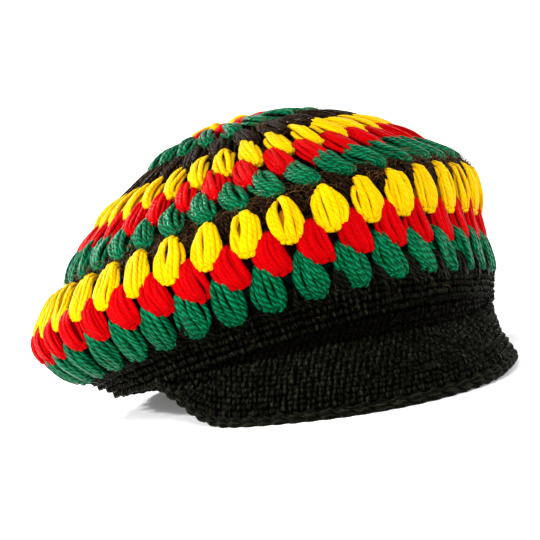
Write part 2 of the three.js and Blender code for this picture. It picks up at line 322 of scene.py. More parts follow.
ROUNDS = (
    RoundPlan(Yarn.BLACK, 36, 0.0, 0.885, 0.138, 0.0, 0.3, 3.9, 2.4),
    RoundPlan(Yarn.GREEN, 36, 0.5, 0.97, 0.241, 0.22, 0.81, 3.7, 3.4),
    RoundPlan(Yarn.RED, 36, 0.0, 1.0, 0.354, 0.45, 0.96, 3.4, 3.3),
    RoundPlan(Yarn.YELLOW, 36, 0.5, 0.985, 0.459, 0.47, 0.6, 3.7, 3.7),
    RoundPlan(Yarn.BLACK, 36, 0.0, 0.93, 0.572, 0.55, 0.32, 3.4, 5.6),
    RoundPlan(Yarn.GREEN, 36, 0.5, 0.826, 0.67, 0.68, 0.5, 2.3, 6.3),
    RoundPlan(Yarn.RED, 32, 0.5, 0.721, 0.755, 0.79, 0.52, 1.7, 7.2),
    RoundPlan(Yarn.YELLOW, 32, 0.0, 0.607, 0.833, 0.86, 0.58, 1.7, 7.9),
    RoundPlan(Yarn.BLACK, 24, 0.5, 0.455, 0.902, 0.89, 0.58, 1.5, 8.3),
    RoundPlan(Yarn.GREEN, 18, 0.0, 0.318, 0.955, 0.95, 0.7, 0.9, 7.5),
    RoundPlan(Yarn.RED, 12, 0.5, 0.18, 0.985, 1.0, 0.78, 0.9, 6.5),
    RoundPlan(Yarn.YELLOW, 6, 0.0, 0.065, 0.997, 1.0, 0.8, 0.5, 5.0),
)
# The reach and lift of a round at each eighth of a turn, from the wearer's left by the back
OUTLINE = (
    (1.08, -0.5), (1.06, -0.2), (1.07, 0.0), (1.06, 0.0),
    (1.01, -0.6), (0.985, 0.1), (1.06, 0.6), (1.02, 0.0),
)
# Places along the peak from the wearer's right, and the reach and drop of its edge at each
PEAK_EDGE = (
    (-1.0, 0.1, -0.08), (-0.9, 0.11, 0.25), (-0.8, 0.19, 0.58), (-0.65, 0.38, 0.82),
    (-0.45, 0.6, 0.93), (-0.2, 0.91, 1.0), (0.0, 1.0, 0.98), (0.2, 0.91, 0.86),
    (0.45, 0.53, 0.65), (0.65, 0.24, 0.6), (0.8, 0.06, 0.46), (0.9, 0.01, 0.2),
    (1.0, 0.0, -0.1),
)


def smooth_through(places: Array, rows: Array, at: Array) -> Array:
    """Interpolates smoothly through rows of numbers.

    Args:
        places: Where the rows stand, rising.
        rows: The rows, of shape (places, width) or (places, samples, width).
        at: Where to read them, of shape (samples,).

    Returns:
        The values, of shape (samples, width).
    """
    slope = np.empty_like(rows)
    gap = (places[2:] - places[:-2]).reshape((-1,) + (1,) * (rows.ndim - 1))
    slope[1:-1] = (rows[2:] - rows[:-2]) / gap
    slope[0] = (rows[1] - rows[0]) / (places[1] - places[0])
    slope[-1] = (rows[-1] - rows[-2]) / (places[-1] - places[-2])
    low = np.clip(np.searchsorted(places, at, side="right") - 1, 0, len(places) - 2)
    width = places[low + 1] - places[low]
    t = ((at - places[low]) / width)[:, None]
    width = width[:, None]
    if rows.ndim == 3:
        here = np.arange(len(at))
        first, last = rows[low, here], rows[low + 1, here]
        leave, arrive = slope[low, here], slope[low + 1, here]
    else:
        first, last = rows[low], rows[low + 1]
        leave, arrive = slope[low], slope[low + 1]
    return (
        (2 * t**3 - 3 * t**2 + 1) * first
        + (t**3 - 2 * t**2 + t) * width * leave
        + (-2 * t**3 + 3 * t**2) * last
        + (t**3 - t**2) * width * arrive
    )


def unit(vectors: Array) -> Array:
    """Returns the vectors on the last axis, each made one long."""
    return vectors / np.maximum(np.linalg.norm(vectors, axis=-1, keepdims=True), 1e-9)


@dataclass
class CrownShape:
    """The crown's smooth outside: level k to k + 1 is round k, angles run from the left ear."""

    band_half: tuple[float, float] = (88.0, 100.0)
    overhang: tuple[float, float] = (20.0, 8.0)
    band_height: float = 19.0
    band_wall: float = 4.5
    height: float = 123.0
    slouch: float = 17.0
    sway: float = 14.0
    sag: float = 5.0
    hem_drop: float = 6.5
    hem_clear: float = 2.5
    hem_tuck: float = 0.6
    twist: float = math.radians(-1.9)
    first_turn: float = math.radians(6.6)
    foot_wall: float = 5.0
    wall: float = 7.0
    centre: tuple[float, float, float] = (1.0, 1.0, 0.8)
    stitch_radius: float = 94.0
    pinch_angle: float = math.radians(152)
    pinch_depth: float = 5.5
    probe: float = 0.05
    centre_clear: float = 0.12

    def pinch(self, angle: Array) -> Array:
        """Returns how far the band is pulled in, from 0 to 1, on the wearer's right."""
        return np.clip(np.cos((angle - self.pinch_angle) * 2), 0, 1) * (np.cos(angle) < 0)

    def band_point(self, angle: Array, height: Array, margin: Array) -> Array:
        """Returns points of the band's outside at a height, grown outwards by a margin."""
        margin = margin - self.pinch_depth * self.pinch(angle)
        x = (self.band_half[0] + margin) * np.cos(angle)
        y = (self.band_half[1] + margin) * np.sin(angle)
        return np.stack(np.broadcast_arrays(x, y, height), -1).astype(float)

    def _outline(self, angle: Array) -> Array:
        """Returns the reach and lift of a round at each angle."""
        places = np.arange(-2, 11) * math.pi / 4
        rows = np.array([OUTLINE[(k - 2) % 8] for k in range(13)])
        return smooth_through(places, rows, np.mod(angle, 2 * math.pi))

    def _round_point(self, plan: RoundPlan, angle: Array, shape: Array) -> Array:
        """Returns the middle of a round at each angle, given the outline there."""
        reach = plan.radius * shape[:, 0]
        x = (self.band_half[0] + self.overhang[0]) * reach * np.cos(angle)
        y = (self.band_half[1] + self.overhang[1]) * reach * np.sin(angle)
        tip = x * math.tan(math.radians(plan.tip_side)) - y * math.tan(math.radians(plan.tip_back))
        z = plan.rise * self.height + shape[:, 1] * self.sag * min(1.0, plan.radius) + tip
        return np.stack([x - plan.side * self.sway, y + plan.back * self.slouch, z], -1)

    def point(self, level: Array, angle: Array) -> Array:
        """Finds points of the crown's outside.

        Args:
            level: How many rounds up, from 0 at the hem to 12 at the centre.
            angle: The angles, of the same shape.

        Returns:
            The points in millimetres, with x, y and z on a new last axis.
        """
        level, angle = np.broadcast_arrays(np.asarray(level, float), np.asarray(angle, float))
        form = level.shape
        level, angle = level.ravel(), angle.ravel()
        shape = self._outline(angle)
        middles = [self._round_point(plan, angle, shape) for plan in ROUNDS]
        low = middles[0][:, 2] - self.hem_drop
        tucked = self.band_point(angle, low, self.hem_clear)
        hem = middles[0] * (1 - self.hem_tuck) + tucked * self.hem_tuck
        hem[:, 2] = low
        rise, back, side = self.centre
        top = np.array([-side * self.sway, back * self.slouch, rise * self.height])
        rows = np.stack([hem, *middles, np.broadcast_to(top, hem.shape)])
        places = np.concatenate([[0.0], np.arange(len(ROUNDS)) + 0.5, [float(len(ROUNDS))]])
        found = smooth_through(places, rows, np.clip(level, 0, len(ROUNDS)))
        return found.reshape(form + (3,))

    def frame_at(self, level: Array, angle: Array) -> tuple[Array, Array, Array]:
        """Finds the crown's surface and its directions.

        Args:
            level: How many rounds up.
            angle: The angles, of the same shape.

        Returns:
            The points, the outward normals, and the travel round the crown for each radian.
        """
        level, angle = np.broadcast_arrays(np.asarray(level, float), np.asarray(angle, float))
        step = self.probe
        near = np.clip(level, 0.0, len(ROUNDS) - self.centre_clear)
        up = self.point(near + step, angle) - self.point(np.maximum(near - step, 0), angle)
        along = (self.point(near, angle + step) - self.point(near, angle - step)) / (2 * step)
        return self.point(level, angle), unit(np.cross(along, up)), along

    def wall_at(self, level: Array) -> Array:
        """Returns the depth of the crown's inside under its outside."""
        t = np.clip((np.asarray(level, float) - 0.5) / 1.5, 0, 1)
        return self.foot_wall + (self.wall - self.foot_wall) * t * t * (3 - 2 * t)

    def puff_angle(self, index: int, level: Array, puff: Array) -> Array:
        """Returns the angle of a puff's middle line at a level."""
        plan = ROUNDS[index]
        return self.first_turn + level * self.twist + (plan.turn + puff) * 2 * math.pi / plan.puffs

    def lay(
        self, index: int, puff: Array, level: Array, side: Array, height: Array,
    ) -> tuple[Array, Array, Array]:
        """Lays local places of a puff on the crown.

        Args:
            index: The round.
            puff: The puff's number in its round.
            level: How many rounds up.
            side: Millimetres to the side of the puff's middle line.
            height: Millimetres over the crown's surface.

        Returns:
            The points, and the sideways and outward directions at each.
        """
        middle = self.puff_angle(index, level, puff)
        _, _, along = self.frame_at(level, middle)
        angle = middle + side / np.maximum(np.linalg.norm(along, axis=-1), 1.0)
        point, normal, along = self.frame_at(level, angle)
        return point + normal * height[..., None], unit(along), normal


# Meshes made of strands


@dataclass
class Strands:
    """Collects tubes and plain bodies, and makes one mesh of them.

    How far a side may face away before painted shade darkens it, and how soon it is fully dark, are
    set by the two numbers after count. Each strand starts at its own place, up to yarn_start
    millimetres along the yarn.
    """

    rest: Rest
    points: list[Array] = field(default_factory=list)
    loops: list[Array] = field(default_factory=list)
    sizes: list[Array] = field(default_factory=list)
    coords: list[Array] = field(default_factory=list)
    tones: list[Array] = field(default_factory=list)
    count: int = 0
    shade_from: float = 0.4
    shade_over: float = 0.8
    yarn_start: float = 40.0

    def tubes(
        self, paths: Array, sideways: Array, radius: Array, flat: Array | float = 1.0,
        tone: Array | float = 1.0, sides: int = 6, outward: Array | None = None,
        shadow: Array | float = 0.0,
    ) -> None:
        """Adds a closed tube along each path.

        Args:
            paths: Points of shape (tubes, points, 3), in millimetres.
            sideways: A direction at each point that is never along the path.
            radius: Half width at each point, of shape (tubes, points).
            flat: Height of the section as a share of its width.
            tone: A factor on the colour of each tube, for random tone or for painted shade.
            sides: Faces round the tube.
            outward: The direction that the tube shows itself in, at each point. The sides that
                face away from it are darkened with painted shade, and with no direction all of it
                is.
            shadow: The least painted shade at each point, of shape (tubes, points).
        """
        number, length, _ = paths.shape
        ahead = unit(np.gradient(paths, axis=1))
        across = unit(sideways - (sideways * ahead).sum(-1, keepdims=True) * ahead)
        over = np.cross(ahead, across)
        turn = np.arange(sides) * 2 * math.pi / sides
        radius = np.broadcast_to(radius, (number, length))[..., None, None]
        tall = np.broadcast_to(flat, (number, length))[..., None, None]
        ring = (
            paths[:, :, None]
            + radius * np.cos(turn)[:, None] * across[:, :, None]
            + radius * tall * np.sin(turn)[:, None] * over[:, :, None]
        )
        # Painted shade: the share of the crease colour, full unless the side faces the outward
        # direction
        crease_shade = np.ones((number, length, sides))
        if outward is not None:
            away = unit(ring - paths[:, :, None])
            facing = (away * outward[:, :, None]).sum(-1)
            crease_shade = np.clip((self.shade_from - facing) / self.shade_over, 0, 1)
        crease_shade = np.maximum(crease_shade, np.broadcast_to(shadow, (number, length))[..., None])
        index = np.arange(number * length * sides).reshape(number, length, sides) + self.count
        beside = np.roll(index, -1, axis=2)
        quads = np.stack([index[:, :-1], beside[:, :-1], beside[:, 1:], index[:, 1:]], -1)
        travel = np.linalg.norm(np.diff(paths, axis=1), axis=-1)
        travel = np.concatenate([np.zeros((number, 1)), np.cumsum(travel, 1)], 1)
        travel = travel + np.random.default_rng(number).uniform(0, self.yarn_start, (number, 1))
        around = np.arange(sides) / sides
        quad_u = np.stack([around, around + 1 / sides, around + 1 / sides, around], -1)
        quad_u = np.broadcast_to(quad_u, (number, length - 1, sides, 4))
        quad_v = np.stack([travel[:, :-1], travel[:, :-1], travel[:, 1:], travel[:, 1:]], -1)
        quad_v = np.broadcast_to(quad_v[:, :, None], quad_u.shape)
        self.points.append(ring.reshape(-1, 3))
        self.loops.append(quads.reshape(-1))
        self.sizes.append(np.full(quads.size // 4, 4))
        self.coords.append(np.stack([quad_u, quad_v], -1).reshape(-1, 2))
        for end, order in ((0, slice(None, None, -1)), (length - 1, slice(None))):
            caps = index[:, end][:, order]
            self.loops.append(caps.reshape(-1))
            self.sizes.append(np.full(number, sides))
            cap_v = np.repeat(travel[:, end], sides)
            self.coords.append(np.stack([np.tile(around[order], number), cap_v], -1))
        shade = np.broadcast_to(np.asarray(tone, float).reshape(-1, 1, 1), (number, length, sides))
        self.tones.append(np.stack([shade, crease_shade], -1).reshape(-1, 2))
        self.count += number * length * sides

    def ring_body(self, sections: Array, tone: Array | float = 1.0) -> None:
        """Adds a body whose closed sections run once round and meet again.

        Args:
            sections: Points of shape (columns, section points, 3), in millimetres, each section
                clockwise as seen looking along the columns.
            tone: A factor on its painted shade colour, or one for each section point.
        """
        self._grid(sections, True, tone)

    def open_body(self, sections: Array, tone: Array | float = 1.0) -> None:
        """Adds a body of closed sections with a cap at each end, as ring_body otherwise."""
        self._grid(sections, False, tone)

    def _grid(self, sections: Array, closed: bool, tone: Array | float) -> None:
        """Adds a swept body, closed on itself or capped at both ends, all in the painted crease
        shade.
        """
        columns, size, _ = sections.shape
        index = np.arange(columns * size).reshape(columns, size) + self.count
        there = np.roll(index, -1, axis=0)
        if not closed:
            index, there = index[:-1], there[:-1]
        quads = np.stack([index, there, np.roll(there, -1, 1), np.roll(index, -1, 1)], -1)
        points = sections.reshape(-1, 3)
        self.points.append(points)
        self.loops.append(quads.reshape(-1))
        self.sizes.append(np.full(quads.size // 4, 4))
        corner = points[quads.reshape(-1) - self.count]
        self.coords.append(np.stack([corner[:, 0] * 0.1, corner[:, 2] + corner[:, 1]], -1))
        if not closed:
            every = np.arange(size) + self.count
            last = every + (columns - 1) * size
            for cap in (every, last[::-1]):
                self.loops.append(cap)
                self.sizes.append(np.array([size]))
                self.coords.append(np.zeros((size, 2)))
        # The whole body takes the painted crease shade, scaled by its tone
        shade = np.broadcast_to(np.asarray(tone, float), (columns, size)).reshape(-1)
        self.tones.append(np.stack([shade, np.ones_like(shade)], -1))
        self.count += columns * size

    def piece(self, name: str, material: bpy.types.Material) -> bpy.types.Object:
        """Makes the mesh object.

        Args:
            name: The piece's name.
            material: Its material.

        Returns:
            The object, linked to the scene, in metres in the row frame.
        """
        mesh = bpy.data.meshes.new(name)
        points = self.rest.settle(np.concatenate(self.points))
        loops = np.concatenate(self.loops).astype(np.int32)
        sizes = np.concatenate(self.sizes).astype(np.int32)
        starts = np.concatenate([[0], np.cumsum(sizes)[:-1]]).astype(np.int32)
        mesh.vertices.add(len(points))
        mesh.vertices.foreach_set("co", points.astype(np.float32).ravel())
        mesh.loops.add(len(loops))
        mesh.loops.foreach_set("vertex_index", loops)
        mesh.polygons.add(len(sizes))
        mesh.polygons.foreach_set("loop_start", starts)
        layer = mesh.uv_layers.new(name="strand")
        layer.uv.foreach_set("vector", np.concatenate(self.coords).astype(np.float32).ravel())
        # Red holds the tone, random or painted shade on dark bodies; green holds the share of
        # painted crease shade
        shade = mesh.color_attributes.new("tone", "FLOAT_COLOR", "POINT")
        tone = np.concatenate(self.tones)
        colours = np.stack([tone[:, 0], tone[:, 1], 0 * tone[:, 0], 1 + 0 * tone[:, 0]], -1)
        shade.data.foreach_set("color", colours.astype(np.float32).ravel())
        mesh.update(calc_edges=True)
        mesh.validate()
        mesh.shade_smooth()
        mesh.materials.append(material)
        made = bpy.data.objects.new(name, mesh)
        bpy.context.scene.collection.objects.link(made)
        log.info("%s: %d triangles", name, int((sizes - 2).sum()))
        return made


def travelled(line: Array) -> Array:
    """Returns how far along a line each of its points lies."""
    return np.concatenate([[0], np.cumsum(np.linalg.norm(np.diff(line, axis=0), axis=-1))])


def between(t: Array, knots: tuple[tuple[float, float], ...]) -> Array:
    """Returns the height at t of a line through the knots, given as (place, height)."""
    places, heights = zip(*knots)
    return np.interp(t, places, heights)


@dataclass(frozen=True)
class Stitch:
    """A single crochet stitch: a fat and a thin leg side by side. Lengths are millimetres."""

    width: float
    row: float
    leg: float
    thin: float = 0.6
    lean: float = 0.5
    lean_start: float = 0.3
    length: float = 0.92
    sunk: float = 1.2
    stray: float = 0.28
    uneven: float = 0.08
    shades: float = 0.6
    shade_range: tuple[float, float] = (0.3, 3.0)
    swell: tuple[float, ...] = (0.5, 0.92, 1.05, 0.9, 0.45)
    # Painted shade at the ends of each leg, as a share of the crease colour
    shadow: tuple[float, ...] = (1.0, 0.45, 0.0, 0.35, 1.0)

    def work(
        self, strands: Strands, centre: Array, sideways: Array, down: Array, normal: Array,
        rng: np.random.Generator,
    ) -> None:
        """Works many of these stitches.

        Args:
            strands: Where they are added.
            centre: Where each stitch sits on its surface, of shape (stitches, 3).
            sideways: The direction along the row at each.
            down: The direction to the next row at each.
            normal: The outward direction at each.
            rng: The source of their irregularity.
        """
        count = len(centre)
        t = np.linspace(0, 1, len(self.swell))[None, :, None]
        for hand, thick, sides in ((1, 1.0, 5), (-1, self.thin, 4)):
            stray = rng.normal(0, self.stray, (3, count, 1, 1))
            side = hand * (self.lean_start - self.lean * t) * self.width + stray[0]
            along = (t - 0.5) * self.row * self.length + stray[1]
            lift = (0.6 + 0.6 * thick) * np.sin(t * math.pi) - self.sunk + stray[2]
            path = centre[:, None] + sideways[:, None] * side + down[:, None] * along
            path = path + normal[:, None] * lift
            swell = np.array([self.swell]) * (1 + rng.normal(0, self.uneven, (count, 1)))
            tone = np.clip(rng.normal(1.0, self.shades, count), *self.shade_range)
            outward = np.broadcast_to(normal[:, None], path.shape)
            # Painted shade darkens the ends of each leg and its sides that face inward
            shadow = np.array([self.shadow])
            radius = self.leg * thick * swell
            strands.tubes(path, outward, radius, 1.0, tone, sides, outward, shadow)


# The crown


@dataclass(frozen=True)
class PuffStyle:
    """How a puff of one round is worked. Lengths are millimetres, levels are rounds.

    Width and rise say how wide and how proud the puff is from its foot (0) to its top (1).
    Foot_turn, tip_turn and bulge count fully near the wearer's right, and less on each side of it.
    """

    tip: float = -0.36
    top: float = 1.42
    dome: float = 0.26
    arc: float = 0.13
    fullness: float = 0.43
    plump: float = 3.9
    seat: float = -4.4
    strand: float = 1.3
    flat: float = 0.9
    spacing: float = 1.4
    foot_shift: float = 0.0
    foot_turn: float = 0.0
    top_shift: float = 0.0
    tip_turn: float = 0.0
    foot_lift: float = 0.8
    bulge: float = 0.0
    tangle: float = 1.0
    ply_gap: float = 0.0
    chain: int = 4
    width: tuple[tuple[float, float], ...] = (
        (0.0, 0.68), (0.07, 0.8), (0.16, 0.93), (0.28, 1.0), (0.42, 1.0), (0.6, 0.94), (0.75, 0.83),
        (0.88, 0.66), (1.0, 0.42),
    )
    rise: tuple[tuple[float, float], ...] = (
        (0.0, 0.6), (0.1, 0.85), (0.3, 1.0), (0.5, 0.95), (0.7, 0.72), (0.85, 0.45), (1.0, 0.1),
    )

    def lift(self, t: Array) -> Array:
        """Returns how far the foot is raised over the round below."""
        return self.foot_lift * np.clip(1 - t / 0.4, 0, 1) ** 1.5


@dataclass(frozen=True)
class Unevenness:
    """How far the strands of a puff stray from even ones, as standard deviations.

    Place is a share of the puff's half width, the tops and feet are levels, fullness and thickness
    are shares, and lean and the waves are millimetres. Each set of waves starts with a single bow
    along the strand and goes on to its overtones.
    """

    place: float = 0.05
    puff_top: float = 0.03
    strand_top: float = 0.02
    strand_foot: float = 0.008
    fullness: float = 0.045
    lean: float = 0.5
    side_waves: tuple[float, ...] = (0.5, 0.35, 0.2)
    height_waves: tuple[float, ...] = (0.35, 0.25)
    thickness: float = 0.06
    tone: float = 0.06
    tone_range: tuple[float, float] = (0.8, 1.12)
    knot_foot: float = 0.012


@dataclass
class PuffRound:
    """One round of puff stitches with the wall behind it."""

    crown: CrownShape
    rest: Rest
    index: int
    style: PuffStyle
    finish: bpy.types.Material
    uneven: Unevenness = Unevenness()
    samples: int = 12
    wall_columns: int = 6
    wall_back: float = 1.6
    overlap: float = 0.04
    last_end: float = 0.93
    rib: float = 0.9
    rib_slant: float = 2.0
    outer_shade: float = 0.03
    inner_shade: float = 0.6
    turned_from: float = math.radians(200.0)
    core_span: tuple[float, float] = (0.05, 0.94)
    gaping_core_end: float = 0.7
    core_width: float = 0.74
    core_height: float = 0.8
    core_sunk: float = 0.8
    core_shade: float = 0.6
    swell: tuple[tuple[float, float], ...] = ((0.0, 0.72), (0.08, 1.0), (0.92, 1.0), (1.0, 0.7))
    top_tuck: tuple[float, float] = (6.0, 0.14)
    foot_tuck: tuple[float, float] = (2.4, 0.09)
    gape: float = 2.4
    gape_place: float = 0.6
    gape_sharpness: float = 2.5
    knot_swell: tuple[float, ...] = (0.5, 0.88, 0.98, 0.88, 0.5)
    knot_reach: float = 1.1
    knot_bow: float = 1.1
    knot_dome: float = 1.2
    knot_sunk: float = 0.3

    def __post_init__(self) -> None:
        """Seeds the round's own small irregularities."""
        self.rng = np.random.default_rng(100 + self.index)

    @property
    def plan(self) -> RoundPlan:
        """The round's row of the plan."""
        return ROUNDS[self.index]

    @property
    def number(self) -> str:
        """The round's number from the top, as names have it."""
        return f"{len(ROUNDS) - self.index:02d}"

    @property
    def colour(self) -> str:
        """The colour of the round's yarn, as names have it."""
        return self.plan.yarn.name.lower()

    def node(self) -> str:
        """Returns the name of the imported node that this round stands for."""
        return f"round_{self.number}_{self.colour}"

    def half_width(self) -> float:
        """Returns half the width of a puff at its widest, in millimetres."""
        angle = np.linspace(0, 2 * math.pi, 73)[:-1]
        ring = self.crown.point(np.full(72, self.index + 0.5), angle)
        girth = np.linalg.norm(np.roll(ring, -1, 0) - ring, axis=1).sum()
        return girth / self.plan.puffs * self.style.fullness

    def build(self) -> bpy.types.Object:
        """Builds the round.

        Returns:
            The piece, riding on the hat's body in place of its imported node.
        """
        strands = Strands(self.rest)
        self._wall(strands)
        self._cores(strands)
        self._loops(strands)
        self._knots(strands)
        made = strands.piece(f"{self.colour}_puffs_{self.number}", self.finish)
        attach(made, "root")
        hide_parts(self.node())
        return made

    def _wall(self, strands: Strands) -> None:
        """Adds the closed wall behind the puffs, ribbed inside as the backs of the stitches are.

        It is all painted shade, nearly black on the outside where it shows between the puffs.
        """
        columns = max(self.plan.puffs, 12) * self.wall_columns
        angle = np.arange(columns) * 2 * math.pi / columns
        last = self.index == len(ROUNDS) - 1
        low = self.index - self.overlap
        high = self.index + (self.last_end if last else 1 + self.overlap)
        outer = np.linspace(low, high, 5)
        inner = np.linspace(high, low, 8)
        level = np.concatenate([outer, inner])
        level, angle = np.meshgrid(level, angle)
        inside = np.arange(level.shape[1]) >= len(outer)
        depth = self.crown.wall_at(level) - np.where(inside, 0.0, self.wall_back)
        ribs = np.abs(np.sin(angle * self.plan.puffs * 1.5 + level * self.rib_slant))
        steps = np.abs(np.sin((level - self.index) * math.pi * 3))
        depth = depth + np.where(inside, self.rib * ribs * steps, 0.0)
        at = np.maximum(level, 0)
        point, normal, _ = self.crown.frame_at(at, angle + at * self.crown.twist)
        sections = point - normal * depth[..., None]
        # Painted shade: the outside is nearly black, the inside less dark
        shade = np.where(inside[::-1], self.inner_shade, self.outer_shade)
        strands.ring_body(sections[:, ::-1], shade)

    def _puffs(self, strand: int) -> Array:
        """Returns every puff's number, once for each strand."""
        return np.repeat(np.arange(self.plan.puffs), strand)

    def _turned(self, puff: Array) -> Array:
        """Returns 1 for a puff near the wearer's right, down to 0 a quarter turn from there."""
        angle = self.crown.puff_angle(self.index, self.index + 0.5, puff)
        return np.clip(np.cos(angle - self.turned_from), 0, 1)

    def _shift(self, puff: Array, t: Array) -> Array:
        """Returns how far the puff's middle line stands to the side, from foot (0) to top (1)."""
        foot = self.style.foot_shift + self.style.foot_turn * self._turned(puff)
        return foot * (1 - t) ** 2 - self.style.top_shift * t**2

    def _foot(self, puff: Array, place: Array) -> Array:
        """Returns the level of a puff's foot at a place across it, lowest in the middle."""
        style = self.style
        return self.index + style.tip + style.tip_turn * self._turned(puff) + style.arc * place**2

    def _by_puff(self, size: float, across: int) -> Array:
        """Returns a random amount for each puff, once for each of its strands."""
        return self.rng.normal(0, size, (self.plan.puffs, 1)).repeat(across, 0)

    def _waves(self, t: Array, sizes: tuple[float, ...]) -> Array:
        """Returns a random wave along each strand, made of overtones of the given sizes."""
        waves = np.zeros_like(t)
        for overtone, size in enumerate(sizes, 1):
            waves += self.rng.normal(0, size, (len(t), 1)) * np.sin(t * overtone * math.pi)
        return waves * self.style.tangle

    def _cores(self, strands: Strands) -> None:
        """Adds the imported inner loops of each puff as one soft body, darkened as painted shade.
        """
        style = self.style
        number = self.plan.puffs
        first, last = self.core_span
        last = self.gaping_core_end if style.ply_gap else last
        t = np.linspace(first, last, 9)[None].repeat(number, 0)
        puff = np.arange(number)[:, None] + 0.0 * t
        foot = self._foot(puff, 0 * t)
        level = foot + t * (self.index + style.top - foot)
        wide = self.half_width() * between(t, style.width) * self.core_width
        tall = style.plump * between(t, style.rise) * self.core_height
        height = style.seat - self.core_sunk + style.lift(t) + style.bulge * self._turned(puff)
        path, sideways, _ = self.crown.lay(self.index, puff, level, self._shift(puff, t), height)
        ends = np.sin(np.linspace(0.05, 0.95, 9) * math.pi) ** 0.4
        squash = np.maximum(tall + 0.9, 0.5) / wide
        # Painted shade: the whole core is in the crease colour, darkened further
        strands.tubes(path, sideways, wide * ends, squash, self.core_shade, 8)

    def _loops(self, strands: Strands) -> None:
        """Adds the long loops of yarn that each puff is drawn up from."""
        style = self.style
        widest = self.half_width()
        room = (2 * widest - 2 * style.strand) / (style.spacing * style.strand)
        across = max(4, int(round(room)) + 1)
        number = self.plan.puffs * across
        rng, uneven = self.rng, self.uneven
        puff = self._puffs(across)[:, None].astype(float)
        place = np.tile(np.linspace(-1, 1, across), self.plan.puffs)[:, None]
        place = np.clip(place + rng.normal(0, uneven.place, (number, 1)), -1.0, 1.0)
        t = np.linspace(0, 1, self.samples)[None].repeat(number, 0)
        reach = self._by_puff(uneven.puff_top, across)
        reach = reach + rng.normal(0, uneven.strand_top, (number, 1))
        top = self.index + style.top - style.dome * place**2 + reach
        foot = self._foot(puff, place) + rng.normal(0, uneven.strand_foot, (number, 1))
        level = foot + t * (top - foot)
        swell = 1 + self._by_puff(uneven.fullness, across)
        wide = (widest - style.strand) * between(t, style.width) * swell
        lean = self._by_puff(uneven.lean, across)
        side = place * wide + self._shift(puff, t) + lean * (0.5 - t)
        side += self._waves(t, uneven.side_waves)
        dome = np.sqrt(np.clip(1 - (0.9 * place) ** 2, 0.0, 1.0))
        height = style.seat + style.plump * between(t, style.rise) * dome + style.lift(t)
        height += style.bulge * self._turned(puff) + self._waves(t, uneven.height_waves)
        (top_sunk, top_over), (foot_sunk, foot_over) = self.top_tuck, self.foot_tuck
        height -= top_sunk * np.clip((t - 1 + top_over) / top_over, 0, 1) ** 1.6
        height -= foot_sunk * np.clip((foot_over - t) / foot_over, 0, 1) ** 1.5
        open_along = np.sin(np.clip(t * 1.3 - 0.3, 0, 1) * math.pi)
        side += self.gape * self._opened(puff, place) * open_along
        path, sideways, normal = self.crown.lay(self.index, puff + 0 * t, level, side, height)
        thick = style.strand * (1 + rng.normal(0, uneven.thickness, (number, 1)))
        thick = thick * between(t, self.swell)
        tone = np.clip(rng.normal(1.0, uneven.tone, number), *uneven.tone_range)
        strands.tubes(path, sideways, thick, style.flat, tone, 6, normal)

    def _opened(self, puff: Array, place: Array) -> Array:
        """Returns a push to each side of a chosen place, so that some puffs gape a little."""
        if self.style.ply_gap <= 0:
            return np.zeros_like(place)
        total = self.plan.puffs
        where = self.rng.uniform(-self.gape_place, self.gape_place, total)
        strong = (self.rng.uniform(0, 1, total) < self.style.ply_gap) * 1.0
        which = puff[:, 0].astype(int)
        gap = place[:, 0] - where[which]
        push = np.sign(gap) * np.exp(-np.abs(gap) * self.gape_sharpness) * strong[which]
        return push[:, None]

    def _knots(self, strands: Strands) -> None:
        """Adds the short chain of loops along the foot of each puff."""
        style, rng, uneven = self.style, self.rng, self.uneven
        total, chain = self.plan.puffs, self.style.chain
        if not chain:
            return
        puff = np.repeat(np.arange(total), chain)[:, None].astype(float)
        place = np.tile((np.arange(chain) + 0.5) * 2 / chain - 1, total)[:, None]
        place = place + rng.normal(0, uneven.place, place.shape)
        t = np.linspace(-1, 1, len(self.knot_swell))[None]
        along = place + t * self.knot_reach / chain
        foot = self.half_width() * style.width[0][1]
        side = along * foot * 0.95 + self._shift(puff, 0 * t)
        level = self._foot(puff, along) + 0.05 + 0.03 * t
        level = level + rng.normal(0, uneven.knot_foot, place.shape)
        height = style.seat + style.plump * style.rise[0][1] + style.foot_lift - self.knot_sunk
        height = height - self.knot_bow * t**2 - self.knot_dome * place**2
        height = height + style.bulge * self._turned(puff)
        path, _, normal = self.crown.lay(self.index, puff + 0 * t, level, side, height)
        radius = style.strand * np.array([self.knot_swell])
        strands.tubes(path, normal, radius, 1.0, 0.98, 6, normal)


